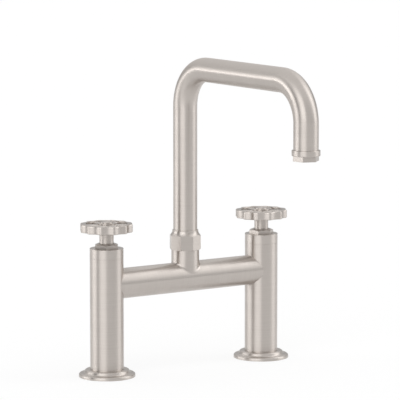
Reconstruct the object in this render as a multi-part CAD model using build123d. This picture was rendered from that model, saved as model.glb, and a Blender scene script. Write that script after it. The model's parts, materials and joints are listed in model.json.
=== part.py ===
from build123d import *
import math
import os

# Bridge kitchen faucet: two valve posts joined by a bridge tube, a square-shouldered spout that
# swivels on the middle of the bridge, and a scalloped handwheel on each post.
#
# Millimetres, +Z up. The origin lies on the deck, midway between the two posts. The posts stand on
# the X axis, the left one at -X, and the spout reaches over the sink towards -Y.

# ------------------------------------------------------------------ the faucet as a whole
POST_SPACING = 203.2  # between the post axes
SPOUT_REACH = 224.5  # from the swivel axis to the outlet axis
ARM_HEIGHT = 330.5  # from the deck to the centre line of the spout's arm
LEG_LENGTH = 26.0  # straight end of the spout's down leg, below its bend
BRIDGE_HEIGHT = 100.0  # from the deck to the bridge's centre line
JOINT_HEIGHT = 129.6  # from the deck to the seam between post and cap
CAP_HEIGHT = 10.4

# ------------------------------------------------------------------ clearances
SLIP = 0.05  # radial, between pieces that slide together and then stay put
RUN = 0.05  # radial, between a shaft and the hole that it turns in
CLEAR = 0.3  # between moving faces that must not touch
EASE = 0.35  # chamfer that breaks a machined edge
SEAM_EASE = 0.12  # the same where two pieces meet in a fine seam
OVERCUT = 1.0  # how far a cutting shape reaches past what it cuts

# ------------------------------------------------------------------ base flange and gasket
FLANGE_R = 30.6
FLANGE_RIM = 3.9  # height of the lower step
FLANGE_STEP_R = 24.5
FLANGE_STEP = 3.9  # from the lower step to the upper one
FLANGE_LEDGE = 3.0  # floor that the post's shoulder stands on
FLANGE_ROUND = 1.9
STEP_ROUND = 1.7
STEP_COVE = 1.7
GASKET_R = 27.0
GASKET_BORE_R = 20.5
GASKET_THICKNESS = 1.5

# ------------------------------------------------------------------ post
POST_R = 18.25
SPIGOT_R = 15.4
FOOT_GAP = 0.5  # the spigot stops this far above the deck
SOCKET_R = 9.32  # core of the half-inch pipe thread that takes the shank
SOCKET_DEPTH = 18.0
WATERWAY_R = 7.0
CHAMBER_R = 11.5
CHAMBER_LENGTH = 22.0
PORT_R = 8.0  # from the valve chamber into the bridge
SEAT_DEPTH = 39.0  # from the cartridge's shoulder down to the valve seat

# ------------------------------------------------------------------ post cap and bonnet nut
CAP_BORE_R = 15.9
CAP_WEB = 2.8
NUT_SIDES = 6
NUT_CORNER_R = 14.0
NUT_HEIGHT = 5.4
NUT_TOP_R = 9.4
NUT_CHAMFER = 1.9  # drop of the turned chamfer from its top circle to the corners
NUT_SKIRT_R = 12.0
NUT_SKIRT = 2.4
LEFT_NUT_TURN = 26.0  # bearing that one wrench face looks to once the nut is tight
RIGHT_NUT_TURN = 11.6

# ------------------------------------------------------------------ quarter-turn cartridge
BARREL_R = 8.9
THREAD_R = 10.3
THREAD_LENGTH = 14.5
HEX_ACROSS = 24.0
HEX_HEIGHT = 5.5
NECK_R = 10.0
NECK_LENGTH = 6.4
DISC_R = 7.5
DISC_THICKNESS = 3.0
DISC_PORT_OUTER_R = 6.0
DISC_PORT_INNER_R = 2.2
DISC_PORT_ANGLE = 76.0
SEAL_BORE_R = 6.3
SEAL_HEIGHT = 2.4
SEAL_PROUD = 1.2  # how far the seat seal stands out of the barrel
WINDOW_WIDTH = 9.0
WINDOW_HEIGHT = 3.4
STEM_R = 4.5
STEM_DRIVE = 6.4  # across the flats of the square that drives the hub
DRIVE_LENGTH = 8.8
DOG_WIDTH = 4.6
DOG_HEIGHT = 4.2  # above the moving disc
DOG_DEPTH = 1.2  # into the moving disc
SHOULDER_R = 6.7
SHOULDER_HEIGHT = 2.4
STOP_R = 7.2  # reach of the stop lug
STOP_ANGLE = 60.0  # width of the stop lug
QUARTER_TURN = 90.0
STOP_SLACK = 0.5  # degrees left at each end of the turn
STEM_SEAL_SECTION_R = 0.8
STEM_SEAL_PITCH = 4.0
BODY_SEAL_SECTION_R = 0.9
CLIP_R = 6.2
CLIP_THICKNESS = 0.8
CLIP_GROOVE_R = 3.6
CLIP_OPENING = 5.0

# ------------------------------------------------------------------ handle
HUB_R = 7.75
HUB_BOSS = 9.0  # across the square boss that the wheel sits on
BOSS_HEIGHT = 4.0
HUB_LIFT = 1.4  # from the top of the cartridge neck to the hub
WHEEL_GAP = 11.6  # from the top of the bonnet nut to the foot of the wheel's boss
WHEEL_R = 28.75
WHEEL_HEIGHT = 9.9  # from the foot of its boss to the top of its rim
RIM_LIFT = 0.9  # from the foot of the boss to the foot of the rim
RIM_TOP_ROUND = 1.5
RIM_FOOT_ROUND = 1.0
SCALLOPS = 12
SCALLOP_R = 15.7
SCALLOP_DEPTH = 2.1
RIM_BORE_R = 22.3
SPOKES = 6
SPOKE_WIDTH = 7.0
SPOKE_HEIGHT = 6.0
SPOKE_DROP = 0.8  # from the top of the rim to the top of a spoke
BOSS_R = 9.8
BOSS_PROUD = 0.5
WELL_R = 6.2  # well in the boss that holds the screw's head and the index cap
SCREW_R = 2.4
SCREW_HEAD_R = 4.4
SCREW_HEAD_HEIGHT = 2.6
SCREW_GRIP = 9.0  # length of screw in the stem
SCREW_KEY = 4.0  # across the flats of the hexagon socket
SCREW_KEY_FLOOR = 1.0  # metal left under the hexagon socket
SCREW_END_GAP = 1.0  # thread left free below the screw
INDEX_R = 7.0
INDEX_THICKNESS = 1.3
INDEX_SPIGOT = 1.6

# ------------------------------------------------------------------ bridge and spout socket
BRIDGE_R = 16.4
BRIDGE_WALL = 2.4
BRANCH_R = 15.35
BRANCH_HEIGHT = 30.7  # from the bridge's centre line to the foot of the spout nut
BRANCH_FILLET = 1.8
BRANCH_THREAD_R = 14.55
BRANCH_THREAD = 12.5
BRANCH_BORE_R = 11.0
BRANCH_BORE_DEPTH = 12.5
BRANCH_WATERWAY_R = 8.0

# ------------------------------------------------------------------ spout nut
UNION_SIDES = 8
UNION_CORNER_R = 17.6
UNION_HEIGHT = 21.5
UNION_TOP_R = 14.0
UNION_CHAMFER = 8.2
UNION_FOOT_CHAMFER = 0.9
UNION_TURN = 18.7  # bearing that one wrench face looks to

# ------------------------------------------------------------------ spout
TUBE_R = 13.2
TUBE_WALL = 1.2
BEND_R = 43.0
COLLAR_HEIGHT = 2.4
WASHER_THICKNESS = 1.0
BEARING_THICKNESS = 1.0
BEARING_SLOT = 2.0
FERRULE_LENGTH = 12.0  # spigot below the thrust washer
PLUG_LENGTH = 9.0
SPOUT_SEAL_SECTION_R = 1.0
SPOUT_SEAL_PITCH = 4.6

# ------------------------------------------------------------------ aerator
BAND_R = 14.9
BAND_HEIGHT = 6.0
BAND_ROUND = 0.75
FLATS_SIDES = 6
FLATS_CORNER_R = 14.0
FLATS_HEIGHT = 5.5
FLATS_TURN = 10.4  # bearing that one wrench face looks to
MOUTH_R = 9.8
LIP_HEIGHT = 1.5
NIPPLE_R = 11.0
NIPPLE_BORE_R = 9.9
NIPPLE_PLUG = 8.0
NIPPLE_THREAD = 7.0
CORE_R = 9.6
CORE_FLANGE = 1.5
CORE_HEIGHT = 6.5
CORE_WALL = 1.0
CORE_FLOOR = 1.4
CORE_HOLE_R = 0.9
CORE_HOLE_PITCH = 3.1
CORE_HOLE_RINGS = 2
SCREEN_THICKNESS = 0.5

# ------------------------------------------------------------------ heights that follow
flange_top = FLANGE_RIM + FLANGE_STEP
seat_height = JOINT_HEIGHT - SEAT_DEPTH
disc_height = seat_height + SEAL_HEIGHT
foot_height = disc_height + 2 * DISC_THICKNESS
shoulder_height = foot_height + DOG_HEIGHT
stop_height = shoulder_height + SHOULDER_HEIGHT
neck_top = JOINT_HEIGHT + HEX_HEIGHT + NECK_LENGTH
post_top = JOINT_HEIGHT + CAP_HEIGHT
nut_top = post_top + NUT_HEIGHT
hub_foot = neck_top + HUB_LIFT
wheel_foot = nut_top + WHEEL_GAP
rim_foot = wheel_foot + RIM_LIFT
wheel_top = wheel_foot + WHEEL_HEIGHT
well_floor = wheel_foot + BOSS_HEIGHT
boss_top = wheel_top + BOSS_PROUD
drive_top = hub_foot + DRIVE_LENGTH
union_foot = BRIDGE_HEIGHT + BRANCH_HEIGHT
branch_top = union_foot + BRANCH_THREAD
collar_foot = branch_top + WASHER_THICKNESS
collar_top = collar_foot + COLLAR_HEIGHT
lip_foot = collar_top + SLIP + BEARING_THICKNESS
union_top = union_foot + UNION_HEIGHT
ferrule_foot = branch_top - FERRULE_LENGTH
tube_end = ARM_HEIGHT - BEND_R - LEG_LENGTH
band_foot = tube_end - BAND_HEIGHT
mouth_height = band_foot - FLATS_HEIGHT
nipple_foot = tube_end - NIPPLE_THREAD
core_foot = mouth_height + LIP_HEIGHT
tube_bore_r = TUBE_R - TUBE_WALL
collar_r = BRANCH_THREAD_R + SLIP - CLEAR


# ------------------------------------------------------------------ shapes used more than once
def turned(*corners):
    """Solid turned about Z from the corners of its half section, each a (radius, height)."""
    section = make_face(Polyline(*corners, close=True).edges())
    return revolve(Plane.XZ * section, Axis.Z)


def disc(radius, foot, top):
    """Solid cylinder about Z between two heights."""
    return turned((0, foot), (radius, foot), (radius, top), (0, top))


def ring(outer_r, bore_r, foot, top):
    """Plain ring about Z between two heights."""
    return turned((bore_r, foot), (outer_r, foot), (outer_r, top), (bore_r, top))


def seal_ring(outer_r, section_r, height):
    """Round-section seal ring about Z whose outside has the given radius."""
    return Pos(0, 0, height) * Torus(outer_r - section_r, section_r)


def prism(outline, foot, top):
    """Upright prism of a flat outline between two heights."""
    return Pos(0, 0, foot) * extrude(outline, top - foot)


def pie(radius, angle, middle):
    """Flat slice of a circle with the given angle, centred on the given bearing in degrees."""
    reach = 2 * radius
    half = math.radians(angle / 2)
    wedge = Polygon(
        (0, 0),
        (reach * math.cos(half), -reach * math.sin(half)),
        (reach, 0),
        (reach * math.cos(half), reach * math.sin(half)),
        align=None,
    )
    return Rot(0, 0, middle) * (wedge & Circle(radius))


def round_edges(part, radius, height):
    """The circular edges of a part with this radius at this height."""
    return part.edges().filter_by(GeomType.CIRCLE).filter_by(
        lambda edge: abs(edge.radius - radius) < 0.001 and abs(edge.arc_center.Z - height) < 0.001
    )


def wrench_faces(corner_r, sides, turn):
    """Flat outline of a nut, one of whose faces looks to the given bearing in degrees."""
    half_side = 180 / sides
    return Rot(0, 0, turn + half_side) * RegularPolygon(corner_r, sides)


def nut_blank(outline, corner_r, foot, top, top_r, drop):
    """Nut blank whose corners are turned off in a cone towards the top."""
    outer_r = corner_r + OVERCUT
    cone_foot = top - drop * (outer_r - top_r) / (corner_r - top_r)
    cone = turned((0, foot), (outer_r, foot), (outer_r, cone_foot), (top_r, top), (0, top))
    return prism(outline, foot, top) & cone


# ------------------------------------------------------------------ posts and what they stand on
def base_flange():
    """Two-step escutcheon with a pocket for the post's foot and a groove for the gasket."""
    seat_r = POST_R + SLIP
    body = turned(
        (SPIGOT_R + SLIP, 0),
        (FLANGE_R, 0),
        (FLANGE_R, FLANGE_RIM),
        (FLANGE_STEP_R, FLANGE_RIM),
        (FLANGE_STEP_R, flange_top),
        (seat_r, flange_top),
        (seat_r, FLANGE_LEDGE),
        (SPIGOT_R + SLIP, FLANGE_LEDGE),
    )
    body = fillet(round_edges(body, FLANGE_R, FLANGE_RIM), FLANGE_ROUND)
    body = fillet(round_edges(body, FLANGE_STEP_R, flange_top), STEP_ROUND)
    body = fillet(round_edges(body, FLANGE_STEP_R, FLANGE_RIM), STEP_COVE)
    groove = ring(GASKET_R + SLIP, GASKET_BORE_R - SLIP, 0, GASKET_THICKNESS)
    return body - groove


def base_gasket():
    """Flat rubber ring that fills the groove under the flange."""
    return ring(GASKET_R, GASKET_BORE_R, 0, GASKET_THICKNESS)


def post(bridge_side):
    """Valve post: threaded foot, waterway, valve seat, chamber with its port, cartridge thread."""
    body = turned(
        (0, FOOT_GAP),
        (SPIGOT_R, FOOT_GAP),
        (SPIGOT_R, FLANGE_LEDGE),
        (POST_R, FLANGE_LEDGE),
        (POST_R, JOINT_HEIGHT - SEAM_EASE),
        (POST_R - SEAM_EASE, JOINT_HEIGHT),
        (0, JOINT_HEIGHT),
    )
    chamber_top = seat_height + CHAMBER_LENGTH
    bores = (
        disc(SOCKET_R, FOOT_GAP, FOOT_GAP + SOCKET_DEPTH)
        + disc(WATERWAY_R, FOOT_GAP, seat_height)
        + disc(CHAMBER_R, seat_height, chamber_top)
        + disc(THREAD_R + SLIP, chamber_top, JOINT_HEIGHT)
    )
    port = Pos(bridge_side * POST_R, 0, BRIDGE_HEIGHT) * Rot(0, 90, 0) * Cylinder(PORT_R, 2 * POST_R)
    return body - bores - port


def post_cap():
    """Trim ring over the cartridge's hexagon, clamped on the post by the bonnet nut."""
    body = turned(
        (NUT_SKIRT_R + SLIP, post_top - CAP_WEB),
        (CAP_BORE_R, post_top - CAP_WEB),
        (CAP_BORE_R, JOINT_HEIGHT),
        (POST_R - SEAM_EASE, JOINT_HEIGHT),
        (POST_R, JOINT_HEIGHT + SEAM_EASE),
        (POST_R, post_top),
        (NUT_SKIRT_R + SLIP, post_top),
    )
    return chamfer(round_edges(body, POST_R, post_top), EASE)


def bonnet_nut(turn):
    """Hexagonal nut that screws on the cartridge's neck and lets the handle's hub through."""
    outline = wrench_faces(NUT_CORNER_R, NUT_SIDES, turn)
    body = nut_blank(outline, NUT_CORNER_R, post_top, nut_top, NUT_TOP_R, NUT_CHAMFER)
    body += disc(NUT_SKIRT_R, post_top - NUT_SKIRT, post_top)
    thread = disc(NECK_R + SLIP, post_top - NUT_SKIRT, hub_foot)
    return body - thread - disc(HUB_R + CLEAR, hub_foot, nut_top)


# ------------------------------------------------------------------ quarter-turn cartridge
def cartridge_body():
    """Barrel with water windows and stop pocket, thread, hexagon and neck, bored for the stem."""
    barrel_foot = seat_height + SEAL_PROUD
    thread_top = JOINT_HEIGHT - 2 * BODY_SEAL_SECTION_R
    thread_foot = thread_top - THREAD_LENGTH
    groove_r = THREAD_R + SLIP - 2 * BODY_SEAL_SECTION_R
    body = turned(
        (0, barrel_foot),
        (BARREL_R, barrel_foot),
        (BARREL_R, thread_foot),
        (THREAD_R, thread_foot),
        (THREAD_R, thread_top),
        (groove_r, thread_top),
        (groove_r, JOINT_HEIGHT + HEX_HEIGHT),
        (NECK_R, JOINT_HEIGHT + HEX_HEIGHT),
        (NECK_R, neck_top),
        (0, neck_top),
    )
    hexagon = RegularPolygon(HEX_ACROSS / 2, 6, major_radius=False)
    body += prism(hexagon, JOINT_HEIGHT, JOINT_HEIGHT + HEX_HEIGHT)
    body -= disc(DISC_R + SLIP, barrel_foot, shoulder_height)
    body -= disc(SHOULDER_R + RUN, shoulder_height, stop_height)
    body -= disc(STEM_R + RUN, stop_height, neck_top)
    pocket = pie(STOP_R + RUN, STOP_ANGLE + QUARTER_TURN + 2 * STOP_SLACK, QUARTER_TURN / 2)
    body -= prism(pocket, shoulder_height, stop_height)
    window = Pos(0, 0, foot_height + DOG_HEIGHT / 2) * Box(WINDOW_WIDTH, 4 * BARREL_R, WINDOW_HEIGHT)
    return body - window


def cartridge_oring():
    """Seal ring under the cartridge's hexagon."""
    return seal_ring(THREAD_R + SLIP, BODY_SEAL_SECTION_R, JOINT_HEIGHT - BODY_SEAL_SECTION_R)


def seat_seal():
    """Rubber ring between the valve seat and the fixed disc."""
    return ring(DISC_R, SEAL_BORE_R, seat_height, disc_height)


def ported_disc(foot, bearing):
    """Ceramic disc with two opposite ports, the first centred on the given bearing."""
    plate = disc(DISC_R, foot, foot + DISC_THICKNESS)
    for turn in (0, 180):
        port = pie(DISC_PORT_OUTER_R, DISC_PORT_ANGLE, bearing + turn) - Circle(DISC_PORT_INNER_R)
        plate -= prism(port, foot, foot + DISC_THICKNESS)
    return plate


def fixed_disc():
    """Lower ceramic disc, ports left and right."""
    return ported_disc(disc_height, 0)


def moving_disc():
    """Upper ceramic disc, ports front and back while the valve is shut, with the stem's slot."""
    foot = disc_height + DISC_THICKNESS
    slot = Box(2 * (DISC_R + OVERCUT), DOG_WIDTH + 2 * SLIP, DOG_DEPTH)
    slot = Pos(0, 0, foot_height - DOG_DEPTH / 2) * slot
    return ported_disc(foot, 90) - slot


def valve_stem():
    """Stem with driving dog, stop lug, seal grooves, clip groove and square drive."""
    seal_r = STEM_R - 2 * STEM_SEAL_SECTION_R
    dog = Box(2 * (DISC_R - CLEAR), DOG_WIDTH, DOG_HEIGHT + DOG_DEPTH)
    dog = Pos(0, 0, (foot_height - DOG_DEPTH + shoulder_height) / 2) * dog
    dog &= disc(DISC_R - CLEAR, foot_height - DOG_DEPTH, shoulder_height)
    stem = dog + disc(SHOULDER_R, shoulder_height, stop_height)
    lug = pie(STOP_R, STOP_ANGLE, 0)
    stem += prism(lug, shoulder_height, stop_height)
    square = prism(Rectangle(STEM_DRIVE, STEM_DRIVE), hub_foot, drive_top)
    stem += disc(STEM_R, stop_height, hub_foot) + (square & disc(STEM_R, hub_foot, drive_top))
    for height in stem_seal_heights():
        foot = height - STEM_SEAL_SECTION_R
        stem -= ring(STEM_R + OVERCUT, seal_r, foot, foot + 2 * STEM_SEAL_SECTION_R)
    clip_foot = neck_top + SLIP
    stem -= ring(STEM_R + OVERCUT, CLIP_GROOVE_R, clip_foot, clip_foot + CLIP_THICKNESS)
    return stem - disc(SCREW_R, drive_top - SCREW_GRIP, drive_top)


def stem_seal_heights():
    """Heights of the two stem seals, centred on the cartridge's shoulder."""
    return [JOINT_HEIGHT + side * STEM_SEAL_PITCH / 2 for side in (-1, 1)]


def stem_orings():
    """Two seal rings in the stem's grooves."""
    return [seal_ring(STEM_R, STEM_SEAL_SECTION_R, height) for height in stem_seal_heights()]


def stem_clip():
    """Split retaining ring in the stem's groove, above the neck."""
    clip_foot = neck_top + SLIP
    whole = ring(CLIP_R, CLIP_GROOVE_R, clip_foot, clip_foot + CLIP_THICKNESS)
    opening = Box(CLIP_OPENING, 2 * CLIP_R, CLIP_THICKNESS)
    return whole - Pos(0, CLIP_R, clip_foot + CLIP_THICKNESS / 2) * opening


# ------------------------------------------------------------------ handle
def handle_hub():
    """Turned column between nut and wheel, with a square socket below and a square boss above."""
    column = disc(HUB_R, hub_foot, wheel_foot)
    column += prism(Rectangle(HUB_BOSS, HUB_BOSS), wheel_foot, well_floor)
    across = STEM_DRIVE + 2 * SLIP
    socket = prism(Rectangle(across, across), hub_foot, drive_top)
    socket &= disc(STEM_R + SLIP, hub_foot, drive_top)
    return column - socket - disc(SCREW_R + SLIP, drive_top, well_floor)


def scalloped_outline():
    """Circle with evenly spaced hollows cut in its edge, one of them facing the user."""
    centre = WHEEL_R - SCALLOP_DEPTH + SCALLOP_R
    hollows = PolarLocations(centre, SCALLOPS, start_angle=-90) * Circle(SCALLOP_R)
    return Circle(WHEEL_R) - hollows


def handwheel():
    """Scalloped rim joined to a round boss by flat spokes, with open windows between them."""
    rim = prism(scalloped_outline(), rim_foot, wheel_top)
    rim = fillet(rim.edges().group_by(Axis.Z)[-1], RIM_TOP_ROUND)
    rim = fillet(rim.edges().group_by(Axis.Z)[0], RIM_FOOT_ROUND)
    rim -= disc(RIM_BORE_R, rim_foot, wheel_top)
    spoke_end = (WHEEL_R - SCALLOP_DEPTH + RIM_BORE_R) / 2
    spoke_top = wheel_top - SPOKE_DROP
    spoke = Pos(spoke_end / 2, 0) * Rectangle(spoke_end, SPOKE_WIDTH)
    spoke = prism(spoke, spoke_top - SPOKE_HEIGHT, spoke_top)
    wheel = rim + [place * spoke for place in PolarLocations(0, SPOKES, start_angle=-90)]
    wheel += disc(BOSS_R, wheel_foot, boss_top)
    hole = HUB_BOSS + 2 * SLIP
    wheel -= prism(Rectangle(hole, hole), wheel_foot, well_floor)
    wheel -= disc(WELL_R, well_floor, boss_top)
    return chamfer(round_edges(wheel, BOSS_R, boss_top), EASE)


def handle_screw():
    """Socket-head screw that clamps wheel and hub to the stem."""
    head_top = well_floor + SCREW_HEAD_HEIGHT
    head = disc(SCREW_HEAD_R, well_floor, head_top)
    shank = disc(SCREW_R - SLIP, drive_top - SCREW_GRIP + SCREW_END_GAP, well_floor)
    key = RegularPolygon(SCREW_KEY / 2, 6, major_radius=False)
    return head + shank - prism(key, well_floor + SCREW_KEY_FLOOR, head_top)


def index_cap():
    """Plug over the screw: a low disc on a spigot that presses into the well."""
    cap = disc(INDEX_R, boss_top, boss_top + INDEX_THICKNESS)
    cap = fillet(round_edges(cap, INDEX_R, boss_top + INDEX_THICKNESS), INDEX_THICKNESS / 2)
    return cap + disc(WELL_R - SLIP, boss_top - INDEX_SPIGOT, boss_top)


# ------------------------------------------------------------------ bridge and spout socket
def bridge_bar(radius):
    """Round bar along the bridge's centre line, from post axis to post axis."""
    return Pos(0, 0, BRIDGE_HEIGHT) * Rot(0, 90, 0) * Cylinder(radius, POST_SPACING)


def bridge_tube():
    """Tube between the posts, coped to both, drilled for the spout socket."""
    tube = bridge_bar(BRIDGE_R) - bridge_bar(BRIDGE_R - BRIDGE_WALL)
    reach = BRIDGE_R + OVERCUT
    cope = disc(POST_R, BRIDGE_HEIGHT - reach, BRIDGE_HEIGHT + reach)
    for side in (-1, 1):
        tube -= Pos(side * POST_SPACING / 2, 0, 0) * cope
    return tube - disc(BRANCH_WATERWAY_R, BRIDGE_HEIGHT, union_foot)


def spout_socket():
    """Branch saddled on the bridge with a filleted foot, threaded for the nut, bored for the spout."""
    stub = disc(BRANCH_R, BRIDGE_HEIGHT, union_foot) + bridge_bar(BRIDGE_R)
    plain = (GeomType.LINE, GeomType.CIRCLE)
    saddle = stub.edges().filter_by(
        lambda edge: edge.geom_type not in plain and edge.center().Z > BRIDGE_HEIGHT
    )
    branch = fillet(saddle, BRANCH_FILLET) - bridge_bar(BRIDGE_R)
    branch += disc(BRANCH_THREAD_R, union_foot, branch_top)
    branch -= disc(BRANCH_WATERWAY_R, BRIDGE_HEIGHT, branch_top)
    return branch - disc(BRANCH_BORE_R, branch_top - BRANCH_BORE_DEPTH, branch_top)


def spout_nut():
    """Octagonal union nut whose lip holds the spout's collar down."""
    outline = wrench_faces(UNION_CORNER_R, UNION_SIDES, UNION_TURN)
    body = nut_blank(outline, UNION_CORNER_R, union_foot, union_top, UNION_TOP_R, UNION_CHAMFER)
    foot_r = UNION_CORNER_R - UNION_FOOT_CHAMFER
    outer_r = UNION_CORNER_R + OVERCUT
    body &= turned(
        (0, union_foot),
        (foot_r, union_foot),
        (outer_r, union_foot + outer_r - foot_r),
        (outer_r, union_top),
        (0, union_top),
    )
    thread = disc(BRANCH_THREAD_R + SLIP, union_foot, lip_foot)
    return body - thread - disc(TUBE_R + RUN, lip_foot, union_top)


def spout_thrust_washer():
    """Flat plastic ring between the socket's top and the spout's collar."""
    return ring(collar_r, BRANCH_BORE_R + SLIP, branch_top, collar_foot)


def spout_bearing_ring():
    """Split plastic ring between the spout's collar and the nut's lip."""
    whole = ring(BRANCH_THREAD_R, TUBE_R + RUN, lip_foot - BEARING_THICKNESS, lip_foot)
    slot = Box(BEARING_SLOT, BRANCH_THREAD_R, 2 * BEARING_THICKNESS)
    return whole - Pos(0, BRANCH_THREAD_R, lip_foot - BEARING_THICKNESS / 2) * slot


# ------------------------------------------------------------------ spout
def spout_path():
    """Centre line of the spout: up the riser, forward along the arm, down the last leg."""
    return FilletPolyline(
        (0, 0, collar_top),
        (0, 0, ARM_HEIGHT),
        (0, -SPOUT_REACH, ARM_HEIGHT),
        (0, -SPOUT_REACH, tube_end),
        radius=BEND_R,
    )


def spout_tube():
    """Bent tube with two bends of the same radius."""
    section = Pos(0, 0, collar_top) * (Circle(TUBE_R) - Circle(tube_bore_r))
    return sweep(section, spout_path())


def spout_seal_heights():
    """Heights of the two spout seals, centred on the ferrule's spigot."""
    middle = branch_top - FERRULE_LENGTH / 2
    return [middle + side * SPOUT_SEAL_PITCH / 2 for side in (-1, 1)]


def spout_ferrule():
    """Swivel foot of the spout: grooved spigot, collar, and a plug brazed into the riser."""
    spigot_r = BRANCH_BORE_R - RUN
    groove_r = spigot_r - 2 * SPOUT_SEAL_SECTION_R
    body = turned(
        (BRANCH_WATERWAY_R, ferrule_foot),
        (spigot_r, ferrule_foot),
        (spigot_r, collar_foot),
        (collar_r, collar_foot),
        (collar_r, collar_top),
        (tube_bore_r - SLIP, collar_top),
        (tube_bore_r - SLIP, collar_top + PLUG_LENGTH),
        (BRANCH_WATERWAY_R, collar_top + PLUG_LENGTH),
    )
    for height in spout_seal_heights():
        foot = height - SPOUT_SEAL_SECTION_R
        body -= ring(spigot_r + OVERCUT, groove_r, foot, foot + 2 * SPOUT_SEAL_SECTION_R)
    return body


def spout_orings():
    """Two seal rings in the ferrule's grooves."""
    outer_r = BRANCH_BORE_R - RUN
    return [seal_ring(outer_r, SPOUT_SEAL_SECTION_R, height) for height in spout_seal_heights()]


# ------------------------------------------------------------------ outlet, built over the origin
def outlet_nipple():
    """Threaded end with a plug brazed into the down leg."""
    return turned(
        (NIPPLE_BORE_R, nipple_foot),
        (NIPPLE_R - SLIP, nipple_foot),
        (NIPPLE_R - SLIP, tube_end),
        (tube_bore_r - SLIP, tube_end),
        (tube_bore_r - SLIP, tube_end + NIPPLE_PLUG),
        (NIPPLE_BORE_R, tube_end + NIPPLE_PLUG),
    )


def aerator_housing():
    """Screwed sleeve: a round band above six wrench faces, with a lip that holds the core."""
    band = disc(BAND_R, band_foot, tube_end)
    band = fillet(band.edges(), BAND_ROUND)
    flats = prism(wrench_faces(FLATS_CORNER_R, FLATS_SIDES, FLATS_TURN), mouth_height, band_foot)
    mouth = disc(MOUTH_R, mouth_height, core_foot)
    return band + flats - mouth - disc(NIPPLE_R + SLIP, core_foot, tube_end)


def aerator_core():
    """Plastic insert with a perforated floor that shapes the stream."""
    top = core_foot + CORE_HEIGHT
    body = disc(CORE_R, core_foot, top) + disc(NIPPLE_R, core_foot, core_foot + CORE_FLANGE)
    body -= disc(CORE_R - CORE_WALL, core_foot + CORE_FLOOR, top)
    holes = [Pos(0, 0)]
    for row in range(1, CORE_HOLE_RINGS + 1):
        holes += list(PolarLocations(row * CORE_HOLE_PITCH, 6 * row))
    for place in holes:
        body -= place * disc(CORE_HOLE_R, core_foot, core_foot + CORE_FLOOR)
    return body


def aerator_screen():
    """Round inlet screen lying on the core."""
    top = core_foot + CORE_HEIGHT
    return disc(CORE_R, top, top + SCREEN_THICKNESS)


def aerator_washer():
    """Rubber ring between the core's flange and the nipple."""
    return ring(NIPPLE_R, NIPPLE_BORE_R + SLIP, core_foot + CORE_FLANGE, nipple_foot)


# ------------------------------------------------------------------ assembly
def as_list(pieces):
    """A list of the solids that share one node."""
    return pieces if isinstance(pieces, list) else [pieces]


def write_node(name, pieces, place):
    """Write one node's solids, moved to their place on the faucet."""
    solids = [place * solid for piece in as_list(pieces) for solid in piece.solids()]
    node = solids[0] if len(solids) == 1 else Compound(children=solids)
    node.label = name
    export_step(node, f"parts/{name}.step")


VALVE_PIECES = {
    "base_flange": base_flange,
    "base_gasket": base_gasket,
    "post_cap": post_cap,
    "cartridge_body": cartridge_body,
    "cartridge_oring": cartridge_oring,
    "seat_seal": seat_seal,
    "fixed_disc": fixed_disc,
    "moving_disc": moving_disc,
    "valve_stem": valve_stem,
    "stem_orings": stem_orings,
    "stem_clip": stem_clip,
    "handle_hub": handle_hub,
    "handwheel": handwheel,
    "handle_screw": handle_screw,
    "index_cap": index_cap,
}

CENTRE_PIECES = {
    "bridge_tube": bridge_tube,
    "spout_socket": spout_socket,
    "spout_nut": spout_nut,
    "spout_thrust_washer": spout_thrust_washer,
    "spout_bearing_ring": spout_bearing_ring,
    "spout_tube": spout_tube,
    "spout_ferrule": spout_ferrule,
    "spout_orings": spout_orings,
}

OUTLET_PIECES = {
    "outlet_nipple": outlet_nipple,
    "aerator_housing": aerator_housing,
    "aerator_core": aerator_core,
    "aerator_screen": aerator_screen,
    "aerator_washer": aerator_washer,
}


def build():
    """Write every node. The right valve is the left one mirrored, as hot and cold valves are."""
    os.makedirs("parts", exist_ok=True)
    left = Pos(-POST_SPACING / 2, 0, 0)
    right = Pos(POST_SPACING / 2, 0, 0)
    for name, make in VALVE_PIECES.items():
        pieces = as_list(make())
        write_node(f"left_{name}", pieces, left)
        write_node(f"right_{name}", [mirror(piece, Plane.YZ) for piece in pieces], right)
    write_node("left_post", post(1), left)
    write_node("right_post", post(-1), right)
    write_node("left_bonnet_nut", bonnet_nut(LEFT_NUT_TURN), left)
    write_node("right_bonnet_nut", bonnet_nut(RIGHT_NUT_TURN), right)
    for name, make in CENTRE_PIECES.items():
        write_node(name, make(), Pos(0, 0, 0))
    for name, make in OUTLET_PIECES.items():
        write_node(name, make(), Pos(0, -SPOUT_REACH, 0))


build()
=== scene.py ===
import json
import math

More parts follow.
